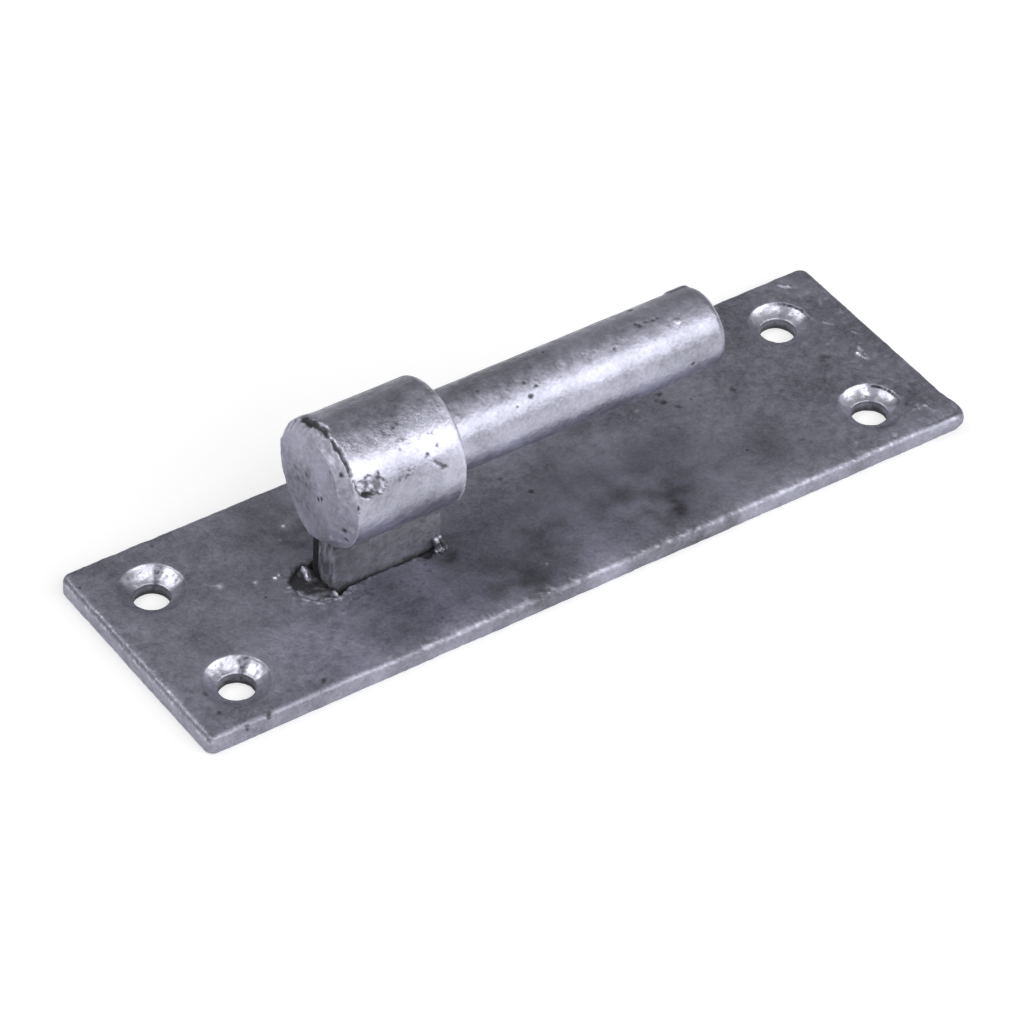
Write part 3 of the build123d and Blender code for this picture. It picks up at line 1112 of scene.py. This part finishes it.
def flared_side(height, side):
    """How far out one side of the neck lies at a height. The side is -1 for near and 1 for far."""
    flat = set_out_y + side * neck_thickness / 2
    centre_y = flat + side * flare
    centre_z = pin_height - math.sqrt((boss_radius + flare) ** 2 - centre_y ** 2)
    touch_z = centre_z + flare * (pin_height - centre_z) / (boss_radius + flare)
    rise = min(max(height, centre_z), touch_z) - centre_z
    return centre_y - side * math.sqrt(flare ** 2 - rise ** 2)


def neck_loops():
    """The neck from its foot in the slot to inside the boss."""
    loops = []
    for height in np.linspace(neck_foot, neck_top, 50):
        near, far = flared_side(height, -1), flared_side(height, 1)
        ring = rounded_rectangle(neck_pin_end_x - neck_end_x, far - near, neck_round, 66, 20, 5)
        ring += (neck_middle_x, (near + far) / 2)
        loops.append(at_height(ring, height))
    return loops


def cap(loop):
    """A fan of triangles that closes one loop."""
    middle = loop.mean(axis=0)
    count = len(loop)
    return np.vstack([loop, middle]), [(step, (step + 1) % count, count) for step in range(count)]


stack = neck_loops()
neck = make_piece("forged_neck", [skin(stack), cap(stack[0]), cap(stack[-1])])

# %% Relief, stains and painted shade on the neck
neck_points = places(neck)
neck_x, neck_y, neck_z = neck_points.T
near_end = ease(neck_x, neck_end_x + 1.0, neck_end_x + 0.2)
seam_line = 0.1 + 0.6 * wander(neck_points, 4.0, 23) - 1.2 * ease(neck_z, 7.0, 4.0)
end_seam = near_end * ease(neck_y - seam_line, 0.0, 0.4)
relief(neck, 0.05 * wander(neck_points, 5.0, 21) + 0.05 * wander(neck_points, 1.5, 22))
cut_back = places(neck)
cut_back[:, 0] += 0.5 * end_seam * ease(neck_z, 14.5, 13.0)
put_back(neck, cut_back)
foot = ease(neck_z + 0.8 * wander(neck_points, 1.6, 24), 5.4, 4.0)
neck_clouds = 1 + 0.9 * wander(neck_points, 2.2, 68, 4)
# Painted shade: the cut-back seam at the end, the foot, the lower end and the top under the boss. It is also
# darker away from the pin's end, and mottled.
neck_shade_and_mottling = strongest([
    end_seam,
    foot * (0.7 + 0.3 * ease(neck_x, -43.5, -45.0)),
    0.35 * near_end * ease(neck_z + wander(neck_points, 2.0, 25), 8.0, 5.0),
    0.45 * neck_clouds * ease(neck_z, 11.0, 14.0),
    0.27 * neck_clouds * ease(neck_x, -23.0, -30.0),
    0.35 * ease(wander(neck_points, 1.6, 63, 4), 0.05, 0.5),
])
# Painted highlight: light streaks on the lit part of the neck's end.
end_streaks = ease(wander(neck_points * (1, 1, 0.3), 1.0, 27), -0.3, 0.3)
note(neck, stain=neck_shade_and_mottling, bright=0.5 * near_end * end_streaks * (1 - end_seam) * (1 - 0.8 * foot))
stand_for(neck, "hinge_pin", shaded_neck_zinc)

# %% [markdown]
# ## The weld in the slot
# Weld metal holds the neck's foot from behind and shows as a dark, rough floor in the pocket. It is a
# thick plug with the slot's outline, bumpy in front and ground nearly flat at the back.

# %% The plug of weld
plug_top, plug_back = 2.2, 0.1
plug_outline = slot_loop(pocket_radius - 0.02, 0.12)
plug_loops = [at_height(plug_outline, height) for height in np.linspace(plug_top, plug_back, 6)]
plug_zones = [(-51, -19, -7, 6, 0.4), (-51, -43, -7, 6, 0.25)]
plug_faces = [flat_face(loop, [], plug_zones, gap=0.2) for loop in (plug_loops[0], plug_loops[-1])]
plug = make_piece("slot_weld", [skin(plug_loops)] + plug_faces)
plug_points = places(plug)
plug_up = facings(plug)[:, 2]
plug_x, plug_y, plug_z = plug_points.T
plug_reach, _ = around(plug_points, neck_end_x, set_out_y)
in_pocket = ease(plug_x, -43.4, -44.6)
seen_from_above = plug_points * (1, 1, 0)
plug_streak = streak(seen_from_above, (-45.2, 4.2, 0), (-46.2, 1.4, 0), 0.7)
plug_beads = dome(seen_from_above, (-44.5, -4.9, 0), 0.6) + dome(seen_from_above, (-43.4, -5.0, 0), 0.8)
bumps = 0.4 * wander(plug_points, 1.4, 31, 4) + in_pocket * (1.05 + 0.75 * ease(plug_y, 1.0, -3.5))
bumps = np.clip(plug_up, 0, 1) * (bumps + 0.5 * plug_streak + 0.5 * plug_beads)
relief(plug, bumps + 0.04 * np.clip(-plug_up, 0, 1) * wander(plug_points, 3.0, 32))
brim = places(plug)
outwards = 0.6 * in_pocket * ease(plug_reach, 3.4, 4.8) * ease(brim[:, 2], 2.6, 3.3) / plug_reach
brim[:, 0] += outwards * (plug_x - neck_end_x)
brim[:, 1] += outwards * (plug_y - set_out_y)
put_back(plug, brim)
# The front of the plug is dark, paler on its near outer part; its streak and beads get painted glints.
pale = in_pocket * ease(plug_reach, 2.8, 5.0) * ease(plug_y, 1.5, -1.5)
darkened = 0.95 - 0.55 * pale + (0.5 + 0.3 * pale) * wander(plug_points, 1.0, 33, 4)
in_front = plug_z > 1.0
painted_shine = (0.9 * plug_streak + 0.8 * plug_beads) * in_front
note(plug, stain=darkened * in_front - plug_streak - plug_beads, bright=painted_shine, matt=np.full(len(plug_x), 0.8))
stand_for(plug, "root_weld", weld_zinc)

# %% [markdown]
# ## The tack
# A small run of weld sits in the corner between neck and plate at the pin's end. Molten metal pulls
# itself into drops, so it is made of a few overlapping drops, melted together by a fine voxel remesh.

# %% The drops of the tack
tack_ridges = [
    ((-22.5, -4.7, 6.2), (-22.4, -5.7, 4.4), 0.50), ((-21.7, -4.7, 6.4), (-21.0, -5.9, 4.6), 0.62),
]
tack_drops = [
    (-21.6, -4.7, 4.8, 1.2), (-20.7, -4.8, 4.7, 0.75), (-21.9, -6.2, 4.2, 0.45), (-22.9, -5.6, 4.2, 0.5),
]
for start, end, radius in tack_ridges:
    for share in np.linspace(0, 1, 6):
        bulge = 0.35 * math.sin(math.pi * share)
        x, y, z = np.array(start) + share * (np.array(end) - np.array(start))
        tack_drops.append((x, y - bulge, z + 0.5 * bulge, radius * (1.1 - 0.25 * share)))
print("tack made of", len(tack_drops), "drops")


def melted_drops(name, drops, voxel):
    """One closed skin round several overlapping drops."""
    work = bmesh.new()
    for x, y, z, radius in drops:
        moved = Matrix.Translation(Vector((x, y, z)) * mm)
        bmesh.ops.create_icosphere(work, subdivisions=4, radius=radius * mm, matrix=moved)
    mesh = bpy.data.meshes.new(name + "_drops")
    work.to_mesh(mesh)
    work.free()
    rough = add_object(name + "_drops", mesh)
    remesh = rough.modifiers.new("melt", "REMESH")
    remesh.mode = "VOXEL"
    remesh.voxel_size = voxel * mm
    smooth = rough.modifiers.new("soften", "SMOOTH")
    smooth.iterations = 4
    view = rough.evaluated_get(bpy.context.evaluated_depsgraph_get())
    melted = bpy.data.meshes.new_from_object(view)
    bpy.data.objects.remove(rough)
    melted.name = name
    melted.shade_smooth()
    print(name, "has", len(melted.polygons), "faces")
    return add_object(name, melted)


tack = melted_drops("tack_drops", tack_drops, 0.1)
tack_points = places(tack)
relief(tack, 0.08 * wander(tack_points, 0.8, 41))
on_ridge = sum(streak(tack_points, start, end, 0.95) for start, end, _ in tack_ridges)
# Painted highlight on the ridges; the rest of the tack is darkened.
painted_shine, darkened = 0.3 * ease(on_ridge, 0.4, 0.7), 0.85 * ease(on_ridge, 0.4, 0.1)
note(tack, stain=darkened, bright=painted_shine, matt=np.full(len(tack_points), 0.4))
stand_for(tack, "tack_weld", weld_zinc)
